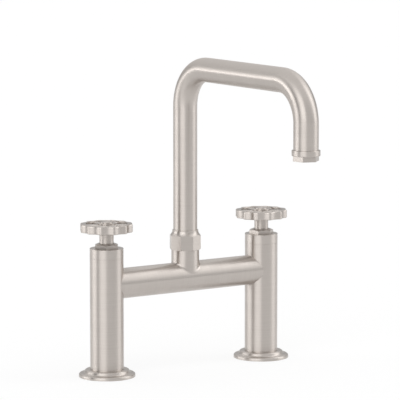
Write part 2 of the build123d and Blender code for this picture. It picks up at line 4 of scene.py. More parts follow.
import bpy
import numpy as np
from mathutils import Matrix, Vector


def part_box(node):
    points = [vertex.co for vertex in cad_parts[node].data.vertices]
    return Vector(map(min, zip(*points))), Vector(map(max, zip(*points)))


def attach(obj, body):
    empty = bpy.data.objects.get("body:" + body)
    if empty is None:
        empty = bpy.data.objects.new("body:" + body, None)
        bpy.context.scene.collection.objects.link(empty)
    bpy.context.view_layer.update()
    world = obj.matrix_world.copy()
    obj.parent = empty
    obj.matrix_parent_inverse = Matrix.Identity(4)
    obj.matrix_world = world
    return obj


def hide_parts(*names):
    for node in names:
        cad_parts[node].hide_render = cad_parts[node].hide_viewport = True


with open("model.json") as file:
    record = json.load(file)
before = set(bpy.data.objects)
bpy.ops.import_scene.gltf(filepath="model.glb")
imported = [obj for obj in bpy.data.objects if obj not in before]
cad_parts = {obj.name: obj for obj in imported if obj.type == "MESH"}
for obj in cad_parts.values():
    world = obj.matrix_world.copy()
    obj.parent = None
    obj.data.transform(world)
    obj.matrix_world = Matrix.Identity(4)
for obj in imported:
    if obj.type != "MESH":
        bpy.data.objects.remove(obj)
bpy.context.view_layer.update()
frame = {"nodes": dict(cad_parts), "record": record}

# The looks of a bridge kitchen faucet in brushed nickel. Shapes are worked out in millimetres and
# put into the meshes in metres. Heights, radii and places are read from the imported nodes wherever
# a node has them; what follows here are the roundings and hidden steps that a node's box can't give.

MM = 0.001

# ------------------------------------------------------------------ camera and studio
CAMERA_PLACE = (-1.7527, -2.6429, 0.6109)  # metres
CAMERA_YAW = 33.843  # degrees to the right of +Y
CAMERA_PITCH = 7.655  # degrees below level
CAMERA_LENS = 263.36  # for a sensor 36 mm wide

FLOOR_REACH = 14.0  # metres from the faucet to the floor's edge
FLOOR_GAP = 0.00005  # metres between floor and flanges, so that the faces don't fight
FLOOR_GLOW = 0.80  # share of the floor that shows as plain white

SKY_LEVEL = 0.46  # at the horizon
SKY_TOP = 1.0
SKY_FULL = 0.70  # sine of elevation from which the sky has its top level
# each soft panel: bearing from the camera's back (degrees, right is positive), half width
# (degrees), softness of its edge (degrees), strength over the sky's own level, lowest and highest
# sine of elevation between which it fades out. The last one is a black flag, which takes light away.
SOFT_PANELS = (
    (-90, 15, 17, 4.50, -0.20, 0.52),
    (-25, 13, 20, 1.55, 0.60, 0.72),
    (99, 12, 12, 1.42, 0.80, 1.00),
    (-68, 8, 5, -0.80, 0.80, 1.00),
)

# ------------------------------------------------------------------ roundings and steps, in mm
EDGE = 0.35  # a broken machined edge
FINE_EDGE = 0.2
ARC_STEPS = 6
SHOULDER_STEPS = 14
ROUND_STEPS = 192  # bearings round a plain turned piece
NUT_STEPS = 576  # a multiple of both nuts' sides, so that every corner is met
BRANCH_STEPS = 384
TUBE_STEPS = 144
WHEEL_STEPS = 1440
SHARP_FROM = 32.0  # degrees between two faces from which their edge is shaded sharp
SUPPORT = 0.25  # how far a flat face stays exactly flat beside an arc, at most

SEAM_EDGE = 0.22  # a machined edge where two pieces meet in a fine seam

FLANGE_ROUND = 1.9
STEP_ROUND = 1.7
STEP_COVE = 2.6
STEP_LEAN = 0.9  # how far the step's wall leans out at its foot and in at its top

NUT_SIDES = 6
NUT_CORNER_R = 14.0
NUT_TOP_R = 9.4
NUT_CHAMFER = 1.9
NUT_TURN = {"left": 26.0, "right": 11.6}
UNION_SIDES = 8
UNION_CORNER_R = 17.6
UNION_NECK_R = 14.3
UNION_NECK = 0.6  # height of the neck's upright wall
UNION_COVE_R = 6.6  # hollow between the neck and the faces
UNION_COVE_TURN = 53.0  # degrees that the hollow turns from upright before it runs out straight
UNION_FOOT_CHAMFER = 0.9
UNION_TURN = 18.7
BAND_ROUND = 0.75
FLATS_SIDES = 6
FLATS_CORNER_R = 14.0
FLATS_TURN = 10.4

WHEEL_R = 28.75
SCALLOPS = 12
SCALLOP_R = 15.7
SCALLOP_DEPTH = 2.1
RIM_TOP_ROUND = 1.5
RIM_FOOT_ROUND = 1.0
RIM_LIFT = 0.9
BOSS_PROUD = 0.5
RIM_BORE_R = 22.3
RIM_BORE_ROUND = 0.5
TIP_SHARPNESS = 600.0
SPOKES = 6
SPOKE_WIDTH = 7.0
SPOKE_HEIGHT = 6.0
SPOKE_DROP = 0.8  # from the rim's top down to the spokes' top
SPOKE_FLARE = 3.0  # how much wider a spoke is where it meets rim and boss
SPOKE_FLARE_FADE = 9.0  # the higher, the shorter the flare
SPOKE_BLUNTNESS = 6  # the higher, the squarer a spoke's section
SPOKE_ROOT = 1.5  # how far a spoke's ends reach into boss and rim
BOSS_R = 9.8
WELL_R = 6.2
WELL_FLOOR = 4.0  # above the boss's foot
INDEX_ROUND = 0.65

BEND_R = 43.0
TUBE_WALL = 1.2
BRIDGE_WALL = 2.4
BRANCH_BORE_R = 8.0
SADDLE_FILLET = 1.9
END_IN_POST = 0.2  # how far the bridge's coped ends reach into the posts
ROOT_IN_BRIDGE = 1.0  # how far the branch's root lies under the bridge's surface


# ------------------------------------------------------------------ reading the frame
def extent(node):
    """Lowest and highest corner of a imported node, in millimetres."""
    low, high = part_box(node)
    return np.array(low) / MM, np.array(high) / MM


def axis_of(node):
    """Where the upright axis of a round node stands: the middle of its box, as (x, y)."""
    low, high = extent(node)
    return (low[:2] + high[:2]) / 2


def heights(node):
    """Foot and top of a node."""
    low, high = extent(node)
    return low[2], high[2]


def radius_of(node):
    """Largest radius of an upright round node."""
    low, high = extent(node)
    return (high[0] - low[0]) / 2


# ------------------------------------------------------------------ surfaces
def softened(corners, closed=True):
    """Outline through corners (radius, height, rounding), with each corner replaced by an arc.

    An arc of radius q starts q / tan(half the corner's angle) before the corner and ends as far
    behind it. A support point beyond each end keeps the flat face beside it evenly shaded.
    """
    count = len(corners)
    points = np.array([corner[:2] for corner in corners], float)
    outline = []
    for i, (point, corner) in enumerate(zip(points, corners)):
        if not closed and i in (0, count - 1):
            outline.append(point)
            continue
        back = points[i - 1] - point
        ahead = points[(i + 1) % count] - point
        back_length, ahead_length = np.hypot(*back), np.hypot(*ahead)
        back, ahead = back / back_length, ahead / ahead_length
        half = math.acos(np.clip(back @ ahead, -1, 1)) / 2
        reach = max(corner[2], 0.02) / math.tan(half)
        start, end = point + back * reach, point + ahead * reach
        middle = point + (back + ahead) / np.hypot(*(back + ahead)) * reach / math.cos(half)
        steps = ARC_STEPS if corner[2] > 0 else 1
        sweep = np.linspace(0, 1, steps + 1)[:, None]
        spread = math.pi - 2 * half
        arc = (np.sin((1 - sweep) * spread) * (start - middle) + np.sin(sweep * spread) * (end - middle))
        arc = middle + arc / math.sin(spread)
        outline.append(start + back * min(SUPPORT, 0.3 * (back_length - reach)))
        outline.extend(arc)
        outline.append(end + ahead * min(SUPPORT, 0.3 * (ahead_length - reach)))
    return np.array(outline)


def bearings(count):
    """Evenly spaced bearings round an axis, as a column."""
    return np.linspace(0, 2 * math.pi, count, endpoint=False)[:, None]


def polygon_radius(bearing, corner_r, sides, turn):
    """Distance from the axis to a polygon's wall: the distance of its faces over the cosine of
    the angle between this bearing and the nearest face's normal."""
    half_side = math.pi / sides
    off = (bearing - math.radians(turn) + half_side) % (2 * half_side) - half_side
    return corner_r * math.cos(half_side) / np.cos(off)


def upright(radii, levels, centre, bearing):
    """Grid [bearing, station, xyz] of a surface round an upright axis: each point lies at its own
    radius on its own bearing, at its own height."""
    radii, levels = np.broadcast_arrays(radii, levels)
    radii = np.broadcast_to(radii, (len(bearing), radii.shape[-1]))
    levels = np.broadcast_to(levels, radii.shape)
    return np.stack(
        [centre[0] + radii * np.cos(bearing), centre[1] + radii * np.sin(bearing), levels], axis=-1
    )


def lay_of(grid, middle):
    """Brushing coordinates of a grid: across the stroke runs the distance along each column, and
    along the stroke the position round the axis, so that strokes circle the piece without a seam."""
    steps = np.linalg.norm(np.diff(grid.mean(axis=0), axis=0), axis=-1)
    along = np.concatenate([[0], np.cumsum(steps)])
    across = np.broadcast_to(along[None, :, None], grid.shape[:2] + (1,))
    return np.concatenate([(grid - middle)[..., :2], across], axis=-1)


def quads(grid, lay, closed=True):
    """Vertices, four-sided faces, corner coordinates and brushing coordinates of a grid that is
    closed in its first direction, and in its second one too if closed."""
    count, stations = grid.shape[:2]
    columns = stations if closed else stations - 1
    i, j = np.meshgrid(np.arange(count), np.arange(columns), indexing="ij")
    right, up = (i + 1) % count, (j + 1) % stations
    faces = np.stack(
        [i * stations + j, right * stations + j, right * stations + up, i * stations + up], axis=-1
    )
    steps = np.linalg.norm(np.roll(grid, -1, axis=1) - grid, axis=-1).mean(axis=0)
    along = np.concatenate([[0], np.cumsum(steps)])
    around = np.linspace(0, np.ptp(grid.reshape(-1, 3), axis=0).max() * math.pi, count + 1)
    corners = np.stack(
        [
            np.stack([along[j], around[i]], axis=-1),
            np.stack([along[j], around[i + 1]], axis=-1),
            np.stack([along[j + 1], around[i + 1]], axis=-1),
            np.stack([along[j + 1], around[i]], axis=-1),
        ],
        axis=-2,
    )
    return grid.reshape(-1, 3), faces.reshape(-1, 4), corners.reshape(-1, 2), lay.reshape(-1, 3)


def turned(outline, centre, count=ROUND_STEPS, closed=True):
    """Surface of revolution of an outline (radius, height) about an upright axis."""
    grid = upright(outline[None, :, 0], outline[None, :, 1], centre, bearings(count))
    return quads(grid, lay_of(grid, np.array([*centre, 0])), closed)


# ------------------------------------------------------------------ pieces
def add_piece(name, shells, body, material, replaced):
    """Mesh object of one or more closed shells, riding on a body and standing for its node."""
    vertices, faces, corners, lays, offset = [], [], [], [], 0
    for shell in shells:
        vertices.append(shell[0])
        faces.append(shell[1] + offset)
        corners.append(shell[2])
        lays.append(shell[3])
        offset += len(shell[0])
    mesh = bpy.data.meshes.new(name)
    mesh.from_pydata((np.concatenate(vertices) * MM).tolist(), [], np.concatenate(faces).tolist())
    mesh.uv_layers.new(name="stroke").data.foreach_set("uv", (np.concatenate(corners) * MM).ravel())
    lay = mesh.attributes.new("lay", "FLOAT_VECTOR", "POINT")
    lay.data.foreach_set("vector", (np.concatenate(lays) * MM).ravel())
    mesh.shade_smooth()
    mesh.set_sharp_from_angle(angle=math.radians(SHARP_FROM))
    mesh.materials.append(material)
    piece = bpy.data.objects.new(name, mesh)
    bpy.context.scene.collection.objects.link(piece)
    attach(piece, body)
    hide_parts(replaced)
    return piece


def base_flange(side):
    """Two-step escutcheon with a groove for its gasket."""
    node = f"{side}_base_flange"
    outer_r = radius_of(node)
    foot, top = heights(node)
    post_r = radius_of(f"{side}_post")
    gasket_r = radius_of(f"{side}_base_gasket")
    rim, step_r, ledge, spigot_r, groove_r, groove = 3.9, 24.5, 3.0, 15.45, 20.45, 1.5
    return turned(
        softened(
            [
                (spigot_r, foot, 0),
                (groove_r, foot, 0),
                (groove_r, foot + groove, 0),
                (gasket_r, foot + groove, 0),
                (gasket_r, foot, 0),
                (outer_r, foot, FINE_EDGE),
                (outer_r, foot + rim, FLANGE_ROUND),
                (step_r + STEP_LEAN, foot + rim, STEP_COVE),
                (step_r - STEP_LEAN, top, STEP_ROUND),
                (post_r, top, 0),
                (post_r, foot + ledge, 0),
                (spigot_r, foot + ledge, 0),
            ]
        ),
        axis_of(node),
    )


def post(side):
    """Valve post with its foot, shank socket, waterway and valve chamber."""
    node = f"{side}_post"
    outer_r = radius_of(node)
    foot, top = heights(node)
    socket_r, socket_top, waterway_r, seat, chamber_r, chamber_top = 9.32, 18.5, 7.0, 90.6, 11.5, 112.6
    spigot_r, ledge, thread_r = 15.4, 3.0, 10.35
    return turned(
        softened(
            [
                (socket_r, foot, EDGE),
                (spigot_r, foot, EDGE),
                (spigot_r, ledge, 0),
                (outer_r, ledge, 0),
                (outer_r, top, SEAM_EDGE),
                (thread_r, top, 0),
                (thread_r, chamber_top, 0),
                (chamber_r, chamber_top, 0),
                (chamber_r, seat, 0),
                (waterway_r, seat, 0),
                (waterway_r, socket_top, 0),
                (socket_r, socket_top, 0),
            ]
        ),
        axis_of(node),
    )


def post_cap(side):
    """Trim ring with its web."""
    node = f"{side}_post_cap"
    outer_r = radius_of(node)
    foot, top = heights(node)
    bore_r, web, hole_r = 15.9, 2.8, 12.05
    return turned(
        softened(
            [
                (bore_r, foot, 0),
                (outer_r, foot, SEAM_EDGE),
                (outer_r, top, EDGE),
                (hole_r, top, 0),
                (hole_r, top - web, 0),
                (bore_r, top - web, 0),
            ]
        ),
        axis_of(node),
    )


def wrench_nut(centre, corner_r, sides, turn, foot, foot_r, shoulder, top_r, inside):
    """Nut whose wall meets a turned shoulder: at each bearing the wall rises to the height that
    the shoulder has at the wall's radius, and the shoulder leads from there to the top circle.

    shoulder gives the height at a radius. inside lists the (radius, height) stations of the bore,
    from the top down.
    """
    bearing = bearings(NUT_STEPS) + math.radians(turn)
    wall = polygon_radius(bearing, corner_r, sides, turn)
    foot_meet = foot + np.clip(wall - foot_r, 0, None)
    plain = np.ones_like(wall)
    inwards = np.linspace(1, 0, SHOULDER_STEPS)[None, :] ** 2
    slope = top_r + (wall - top_r) * inwards
    stations = [
        (plain * inside[-1][0], plain * foot),
        (np.minimum(wall, foot_r) - 0.02, plain * foot),
        (wall, foot_meet + 0.02),
        (slope, shoulder(slope)),
    ]
    stations += [(plain * r, plain * z) for r, z in inside]
    radii = np.concatenate([station[0] for station in stations], axis=1)
    levels = np.concatenate([station[1] for station in stations], axis=1)
    grid = upright(radii, levels, centre, bearing)
    return quads(grid, lay_of(grid, np.array([*centre, 0])))


def bonnet_nut(side):
    """Low hexagonal nut with its skirt inside the cap."""
    node = f"{side}_bonnet_nut"
    skirt_foot, top = heights(node)
    foot = heights(f"{side}_post_cap")[1]
    hub_r, thread_r, thread_top, skirt_r = 8.05, 10.05, 142.9, 12.0
    fall = NUT_CHAMFER / (NUT_CORNER_R - NUT_TOP_R)
    inside = [
        (hub_r, top),
        (hub_r, thread_top),
        (thread_r, thread_top),
        (thread_r, skirt_foot),
        (skirt_r, skirt_foot),
        (skirt_r, foot),
    ]
    return wrench_nut(
        axis_of(f"{side}_post"),
        NUT_CORNER_R,
        NUT_SIDES,
        NUT_TURN[side],
        foot,
        NUT_CORNER_R,
        lambda radius: top - fall * (radius - NUT_TOP_R),
        NUT_TOP_R,
        inside,
    )


def spout_nut():
    """Octagonal union nut with a short neck.

    From the neck's upright wall the shoulder turns outwards in a hollow arc: at the angle a it
    has moved out by the arc's radius times (1 - cos a) and fallen by the radius times sin a. Past
    the arc's end it runs on straight down to the corners.
    """
    foot, top = heights("spout_nut")
    bore_r, thread_r, lip_foot = 13.25, 14.6, 147.65
    end = math.radians(UNION_COVE_TURN)
    neck_foot = top - UNION_NECK

    def shoulder(radius):
        out = np.clip((radius - UNION_NECK_R) / UNION_COVE_R, 0, None)
        turned_by = np.arccos(np.clip(1 - out, math.cos(end), 1))
        beyond = np.clip(out - (1 - math.cos(end)), 0, None) * UNION_COVE_R
        return neck_foot - UNION_COVE_R * np.sin(turned_by) - beyond / math.tan(end)

    inside = [
        (UNION_NECK_R, top - FINE_EDGE),
        (UNION_NECK_R - FINE_EDGE, top),
        (bore_r, top),
        (bore_r, lip_foot),
        (thread_r, lip_foot),
        (thread_r, foot),
    ]
    foot_r = UNION_CORNER_R - UNION_FOOT_CHAMFER
    return wrench_nut(
        (0, 0), UNION_CORNER_R, UNION_SIDES, UNION_TURN, foot, foot_r, shoulder, UNION_NECK_R, inside
    )


def handle_hub(side):
    """Round column with its square boss above and its socket below."""
    node = f"{side}_handle_hub"
    foot, top = heights(node)
    wheel_foot = heights(f"{side}_handwheel")[0]
    column_r = radius_of(node)
    boss_half, socket_r, socket_top, screw_r = 4.5, 4.55, 151.7, 2.45
    bearing = bearings(ROUND_STEPS)
    boss = polygon_radius(bearing, boss_half * math.sqrt(2), 4, 0)
    column = softened(
        [
            (socket_r, foot, 0),
            (column_r, foot, EDGE),
            (column_r, wheel_foot, FINE_EDGE),
            (boss_half * math.sqrt(2), wheel_foot, 0),
        ],
        closed=False,
    )
    plain = np.ones_like(boss)
    radii = np.concatenate([plain * column[None, :, 0], boss, boss], axis=1)
    levels = np.concatenate([plain * column[None, :, 1], plain * wheel_foot, plain * top], axis=1)
    bore = [(screw_r, top), (screw_r, socket_top), (socket_r, socket_top)]
    for r, z in bore:
        radii = np.concatenate([radii, plain * r], axis=1)
        levels = np.concatenate([levels, plain * z], axis=1)
    centre = axis_of(node)
    grid = upright(radii, levels, centre, bearing)
    return quads(grid, lay_of(grid, np.array([*centre, 0])))


def scalloped_radius(bearing, rim_r):
    """Radius of the scalloped rim: in each hollow the near wall of a circle whose centre stands
    outside the rim, elsewhere the rim itself, joined by the sharpness-norm of both."""
    distance = rim_r - SCALLOP_DEPTH + SCALLOP_R
    pitch = 2 * math.pi / SCALLOPS
    off = (bearing + math.pi / 2 + pitch / 2) % pitch - pitch / 2
    under = np.clip(SCALLOP_R ** 2 - (distance * np.sin(off)) ** 2, 0, None)
    hollow = distance * np.cos(off) - np.sqrt(under)
    hollow = np.where(under > 0, hollow, rim_r * 2)
    both = (hollow / rim_r) ** -TIP_SHARPNESS + 1
    return rim_r * both ** (-1 / TIP_SHARPNESS)


def wheel_rim(centre, foot, top, rim_r):
    """Scalloped rim: its section, with rounded edges, is carried round and pulled in by the
    scallops on its outer side only."""
    bearing = bearings(WHEEL_STEPS)
    outer = scalloped_radius(bearing, rim_r)
    section = softened(
        [
            (RIM_BORE_R, foot, RIM_BORE_ROUND),
            (rim_r, foot, RIM_FOOT_ROUND),
            (rim_r, top, RIM_TOP_ROUND),
            (RIM_BORE_R, top, RIM_BORE_ROUND),
        ]
    )
    share = np.clip((section[None, :, 0] - RIM_BORE_R) / (rim_r - RIM_TOP_ROUND - RIM_BORE_R), 0, 1)
    radii = section[None, :, 0] + share * (outer - rim_r)
    grid = upright(radii, section[None, :, 1], centre, bearing)
    return quads(grid, lay_of(grid, np.array([*centre, 0])))


def wheel_spoke(centre, bearing, foot, top, inner_r, outer_r):
    """Spoke with a rounded-rectangle section: a circle scaled, at each angle, by the power norm of
    its cosine and sine. Its width falls off exponentially from boss and rim to the middle."""
    turn = bearings(48)
    along = np.linspace(0, 1, 25)[None, :]
    flare = np.exp(-along * SPOKE_FLARE_FADE) + np.exp(-(1 - along) * SPOKE_FLARE_FADE)
    flare = SPOKE_FLARE * flare
    half_width = SPOKE_WIDTH / 2 + flare / 2
    half_height = (top - foot) / 2
    blunt = np.abs(np.cos(turn)) ** SPOKE_BLUNTNESS + np.abs(np.sin(turn)) ** SPOKE_BLUNTNESS
    blunt = blunt ** (-1 / SPOKE_BLUNTNESS)
    sideways = half_width * np.cos(turn) * blunt
    upwards = (foot + top) / 2 + half_height * np.sin(turn) * blunt * np.ones_like(along)
    outwards = (inner_r + (outer_r - inner_r) * along) * np.ones_like(turn)
    nothing, middle = np.zeros_like(turn), np.full_like(turn, (foot + top) / 2)
    sideways = np.concatenate([nothing, sideways, nothing], axis=1)
    upwards = np.concatenate([middle, upwards, middle], axis=1)
    outwards = np.concatenate([nothing + inner_r, outwards, nothing + outer_r], axis=1)
    c, s = math.cos(bearing), math.sin(bearing)
    grid = np.stack(
        [centre[0] + outwards * c - sideways * s, centre[1] + outwards * s + sideways * c, upwards], axis=-1
    )
    return quads(grid, lay_of(grid, np.array([*centre, 0])), closed=False)


def wheel_boss(centre, foot, top):
    """Round boss with a square hole below and the screw's well above."""
    bearing = bearings(ROUND_STEPS)
    floor = foot + WELL_FLOOR
    hole_half = 4.55
    hole = polygon_radius(bearing, hole_half * math.sqrt(2), 4, 0)
    outside = softened(
        [
            (hole_half * math.sqrt(2), foot, 0),
            (BOSS_R, foot, EDGE),
            (BOSS_R, top, EDGE),
            (WELL_R, top, FINE_EDGE),
            (WELL_R, floor, 0),
        ],
        closed=False,
    )
    plain = np.ones_like(hole)
    radii = np.concatenate([hole, plain * outside[None, :, 0], hole], axis=1)
    levels = np.concatenate([plain * foot, plain * outside[None, :, 1], plain * floor], axis=1)
    grid = upright(radii, levels, centre, bearing)
    return quads(grid, lay_of(grid, np.array([*centre, 0])))


def handwheel(side):
    """Rim, spokes and boss of one wheel."""
    node = f"{side}_handwheel"
    foot, boss_top = heights(node)
    top = boss_top - BOSS_PROUD
    centre = axis_of(f"{side}_post")
    shells = [wheel_rim(centre, foot + RIM_LIFT, top, WHEEL_R), wheel_boss(centre, foot, boss_top)]
    spoke_top = top - SPOKE_DROP
    inner_r, outer_r = BOSS_R - SPOKE_ROOT, RIM_BORE_R + SPOKE_ROOT
    for i in range(SPOKES):
        bearing = -math.pi / 2 + i * 2 * math.pi / SPOKES
        spoke = wheel_spoke(centre, bearing, spoke_top - SPOKE_HEIGHT, spoke_top, inner_r, outer_r)
        shells.append(spoke)
    return shells


def index_cap(side):
    """Low button on its spigot."""
    node = f"{side}_index_cap"
    outer_r = radius_of(node)
    foot, top = heights(node)
    rim_foot = heights(f"{side}_handwheel")[1]
    spigot_r = 6.15
    return turned(
        softened(
            [
                (0, foot, 0),
                (spigot_r, foot, FINE_EDGE),
                (spigot_r, rim_foot, 0),
                (outer_r, rim_foot, 0),
                (outer_r, top, INDEX_ROUND),
                (0, top, 0),
            ],
            closed=False,
        ),
        axis_of(node),
        closed=False,
    )


def bridge_tube():
    """Level tube: rings of the tube's radius whose two ends follow the posts' walls."""
    low, high = extent("bridge_tube")
    outer_r = (high[2] - low[2]) / 2
    height = (high[2] + low[2]) / 2
    post_r = radius_of("left_post")
    post_x = axis_of("right_post")[0]
    bearing = bearings(ROUND_STEPS)
    station = np.linspace(-1, 1, 9)[None, :]
    rings = []
    for r, order in ((outer_r, station), (outer_r - BRIDGE_WALL, station[:, ::-1])):
        across, up = r * np.cos(bearing), r * np.sin(bearing)
        end = post_x - np.sqrt(post_r ** 2 - across ** 2) + END_IN_POST
        rings.append(np.stack([end * order, across + 0 * order, height + up + 0 * order], axis=-1))
    grid = np.concatenate(rings, axis=1)
    lay = lay_of(grid, np.zeros(3))
    lay[..., 0] = grid[..., 1]
    lay[..., 1] = grid[..., 2] - height
    lay[..., 2] = grid[..., 0]
    return quads(grid, lay)


def spout_socket():
    """Upright branch with a filleted foot on the bridge.

    On the bridge's surface, rolled out flat, the branch's outline is moved outwards by the
    fillet's reach; a quadratic curve leads from there over the corner up to the branch's wall.
    """
    foot, top = heights("spout_socket")
    bridge_low, bridge_high = extent("bridge_tube")
    bridge_r = (bridge_high[2] - bridge_low[2]) / 2
    axis_height = (bridge_high[2] + bridge_low[2]) / 2
    nut_foot = heights("spout_nut")[0]
    branch_r, thread_r, bore_r, bore_foot = 15.35, 14.55, 11.0, 130.7
    bearing = bearings(BRANCH_STEPS)
    x, y = branch_r * np.cos(bearing), branch_r * np.sin(bearing)
    rolled = np.concatenate([x, bridge_r * np.arcsin(y / bridge_r)], axis=1)
    tangent = np.roll(rolled, -1, axis=0) - np.roll(rolled, 1, axis=0)
    tangent /= np.linalg.norm(tangent, axis=1, keepdims=True)
    outward = np.stack([tangent[:, 1], -tangent[:, 0]], axis=1)
    spread = rolled + SADDLE_FILLET * outward
    toe = np.stack(
        [
            spread[:, 0],
            bridge_r * np.sin(spread[:, 1] / bridge_r),
            axis_height + bridge_r * np.cos(spread[:, 1] / bridge_r),
        ],
        axis=1,
    )
    corner = np.concatenate([x, y, axis_height + np.sqrt(bridge_r ** 2 - y ** 2)], axis=1)
    heel = corner + np.array([0, 0, SADDLE_FILLET])
    t = np.linspace(0, 1, 9)[None, :, None]
    fillet = (1 - t) ** 2 * toe[:, None] + 2 * t * (1 - t) * corner[:, None] + t ** 2 * heel[:, None]
    hidden_r = bridge_r - ROOT_IN_BRIDGE
    root = np.stack(
        [
            BRANCH_BORE_R * np.cos(bearing[:, 0]),
            BRANCH_BORE_R * np.sin(bearing[:, 0]),
            axis_height + np.sqrt(hidden_r ** 2 - (BRANCH_BORE_R * np.sin(bearing[:, 0])) ** 2),
        ],
        axis=1,
    )
    profile = [
        (branch_r, nut_foot),
        (thread_r, nut_foot),
        (thread_r, top),
        (bore_r, top),
        (bore_r, bore_foot),
        (BRANCH_BORE_R, bore_foot),
    ]
    radii = np.array([station[0] for station in profile])[None, :]
    levels = np.array([station[1] for station in profile])[None, :]
    upper = upright(radii, levels, (0, 0), bearing)
    grid = np.concatenate([root[:, None], fillet, upper], axis=1)
    return quads(grid, lay_of(grid, np.zeros(3)))


def spout_centre_line(foot, arm, reach, end):
    """Points and directions along the spout: straight riser, quarter circle, arm, quarter circle,
    down leg. Each is (y, z); a quarter circle turns its direction evenly."""
    turn = np.linspace(0, math.pi / 2, 49)
    rise = [(0, foot), (0, foot + 1), (0, arm - BEND_R - 1)]
    first = [(-BEND_R + BEND_R * math.cos(a), arm - BEND_R + BEND_R * math.sin(a)) for a in turn]
    second = [
        (-reach + BEND_R - BEND_R * math.sin(a), arm - BEND_R + BEND_R * math.cos(a)) for a in turn
    ]
    fall = [(-reach, end + 1), (-reach, end)]
    level = [(-BEND_R - 1, arm), (-reach + BEND_R + 1, arm)]
    points = np.array(rise + first + level + second + fall)
    headings = np.concatenate(
        [np.zeros(3), turn, np.full(2, math.pi / 2), math.pi / 2 + turn, np.full(2, math.pi)]
    )
    return points, headings


def spout_tube():
    """Circle carried along the spout's centre line, out along the outside and back inside."""
    low, high = extent("spout_tube")
    tube_r = (high[0] - low[0]) / 2
    reach = -(low[1] + tube_r)
    arm = high[2] - tube_r
    foot = low[2]
    end = heights("aerator_housing")[1]
    line, heading = spout_centre_line(foot, arm, reach, end)
    bearing = bearings(TUBE_STEPS)
    rings = []
    for r, order in ((tube_r, 1), (tube_r - TUBE_WALL, -1)):
        y, z, a = line[::order, 0], line[::order, 1], heading[::order]
        side = r * np.cos(bearing) + 0 * y
        out = r * np.sin(bearing)
        rings.append(np.stack([side, y + out * np.cos(a), z + out * np.sin(a)], axis=-1))
    grid = np.concatenate(rings, axis=1)
    steps = np.hypot(*np.diff(line, axis=0).T)
    along = np.concatenate([[0], np.cumsum(steps)])
    along = np.concatenate([along, along[::-1]])[None, :] + 0 * bearing
    across, up = tube_r * np.cos(bearing) + 0 * along, tube_r * np.sin(bearing) + 0 * along
    lay = np.stack([across, up, along], axis=-1)
    return quads(grid, lay)


def aerator_housing():
    """Round band above six wrench faces, with the mouth and the thread inside."""
    foot, top = heights("aerator_housing")
    centre = axis_of("aerator_housing")
    band_r = 14.9
    band_foot, lip_top, mouth_r, thread_r = foot + 5.5, foot + 1.5, 9.8, 11.05
    bearing = bearings(NUT_STEPS) + math.radians(FLATS_TURN)
    wall = polygon_radius(bearing, FLATS_CORNER_R, FLATS_SIDES, FLATS_TURN)
    plain = np.ones_like(wall)
    band = softened(
        [
            (wall.min(), band_foot, 0),
            (band_r, band_foot, BAND_ROUND),
            (band_r, top, BAND_ROUND),
            (thread_r, top, 0),
            (thread_r, lip_top, 0),
            (mouth_r, lip_top, 0),
            (mouth_r, foot, FINE_EDGE),
            (wall.min(), foot, 0),
        ],
        closed=False,
    )
    lower = [(wall - EDGE, plain * foot), (wall, plain * (foot + EDGE)), (wall, plain * band_foot)]
    radii = np.concatenate([station[0] for station in lower] + [plain * band[None, 1:-1, 0]], axis=1)
    levels = np.concatenate([station[1] for station in lower] + [plain * band[None, 1:-1, 1]], axis=1)
    grid = upright(radii, levels, centre, bearing)
    return quads(grid, lay_of(grid, np.array([*centre, 0])))


# ------------------------------------------------------------------ materials
def group_socket(tree, name, way, kind, value=None):
    """Adds one named socket to a node group."""
    socket = tree.interface.new_socket(name=name, in_out=way, socket_type=kind)
    if value is not None:
        socket.default_value = value


def streaks_group():
    """Brushing strokes: two noises stretched along the stroke, a fine one and a broad one.

    Streaks is their mean, Drift a slow cloud that follows neither direction.
    """
    tree = bpy.data.node_groups.new("brushing_strokes", "ShaderNodeTree")
    group_socket(tree, "Vector", "INPUT", "NodeSocketVector")
    group_socket(tree, "Along", "INPUT", "NodeSocketFloat", 45.0)
    group_socket(tree, "Across", "INPUT", "NodeSocketFloat", 3600.0)
    group_socket(tree, "Streaks", "OUTPUT", "NodeSocketFloat")
    group_socket(tree, "Drift", "OUTPUT", "NodeSocketFloat")
    nodes, links = tree.nodes, tree.links
    given, made = nodes.new("NodeGroupInput"), nodes.new("NodeGroupOutput")
    scale = nodes.new("ShaderNodeCombineXYZ")
    links.new(given.outputs["Along"], scale.inputs["X"])
    links.new(given.outputs["Along"], scale.inputs["Y"])
    links.new(given.outputs["Across"], scale.inputs["Z"])
    stretched = nodes.new("ShaderNodeVectorMath")
    stretched.operation = "MULTIPLY"
    links.new(given.outputs["Vector"], stretched.inputs[0])
    links.new(scale.outputs["Vector"], stretched.inputs[1])
    fine = nodes.new("ShaderNodeTexNoise")
    fine.inputs["Scale"].default_value = 1.0
    fine.inputs["Detail"].default_value = 2.0
    broad = nodes.new("ShaderNodeTexNoise")
    broad.inputs["Scale"].default_value = 0.28
    broad.inputs["Detail"].default_value = 1.0
    cloud = nodes.new("ShaderNodeTexNoise")
    cloud.inputs["Scale"].default_value = 55.0
    cloud.inputs["Detail"].default_value = 2.0
    links.new(stretched.outputs["Vector"], fine.inputs["Vector"])
    links.new(stretched.outputs["Vector"], broad.inputs["Vector"])
    links.new(given.outputs["Vector"], cloud.inputs["Vector"])
    mean = nodes.new("ShaderNodeMix")
    mean.inputs["Factor"].default_value = 0.5
    links.new(fine.outputs["Fac"], mean.inputs["A"])
    links.new(broad.outputs["Fac"], mean.inputs["B"])
    links.new(mean.outputs["Result"], made.inputs["Streaks"])
    links.new(cloud.outputs["Fac"], made.inputs["Drift"])
    return tree


def new_material(name):
    """Empty node material with its Principled BSDF."""
    material = bpy.data.materials.new(name)
    material.use_nodes = True
    tree = material.node_tree
    return material, tree.nodes, tree.links, tree.nodes["Principled BSDF"]


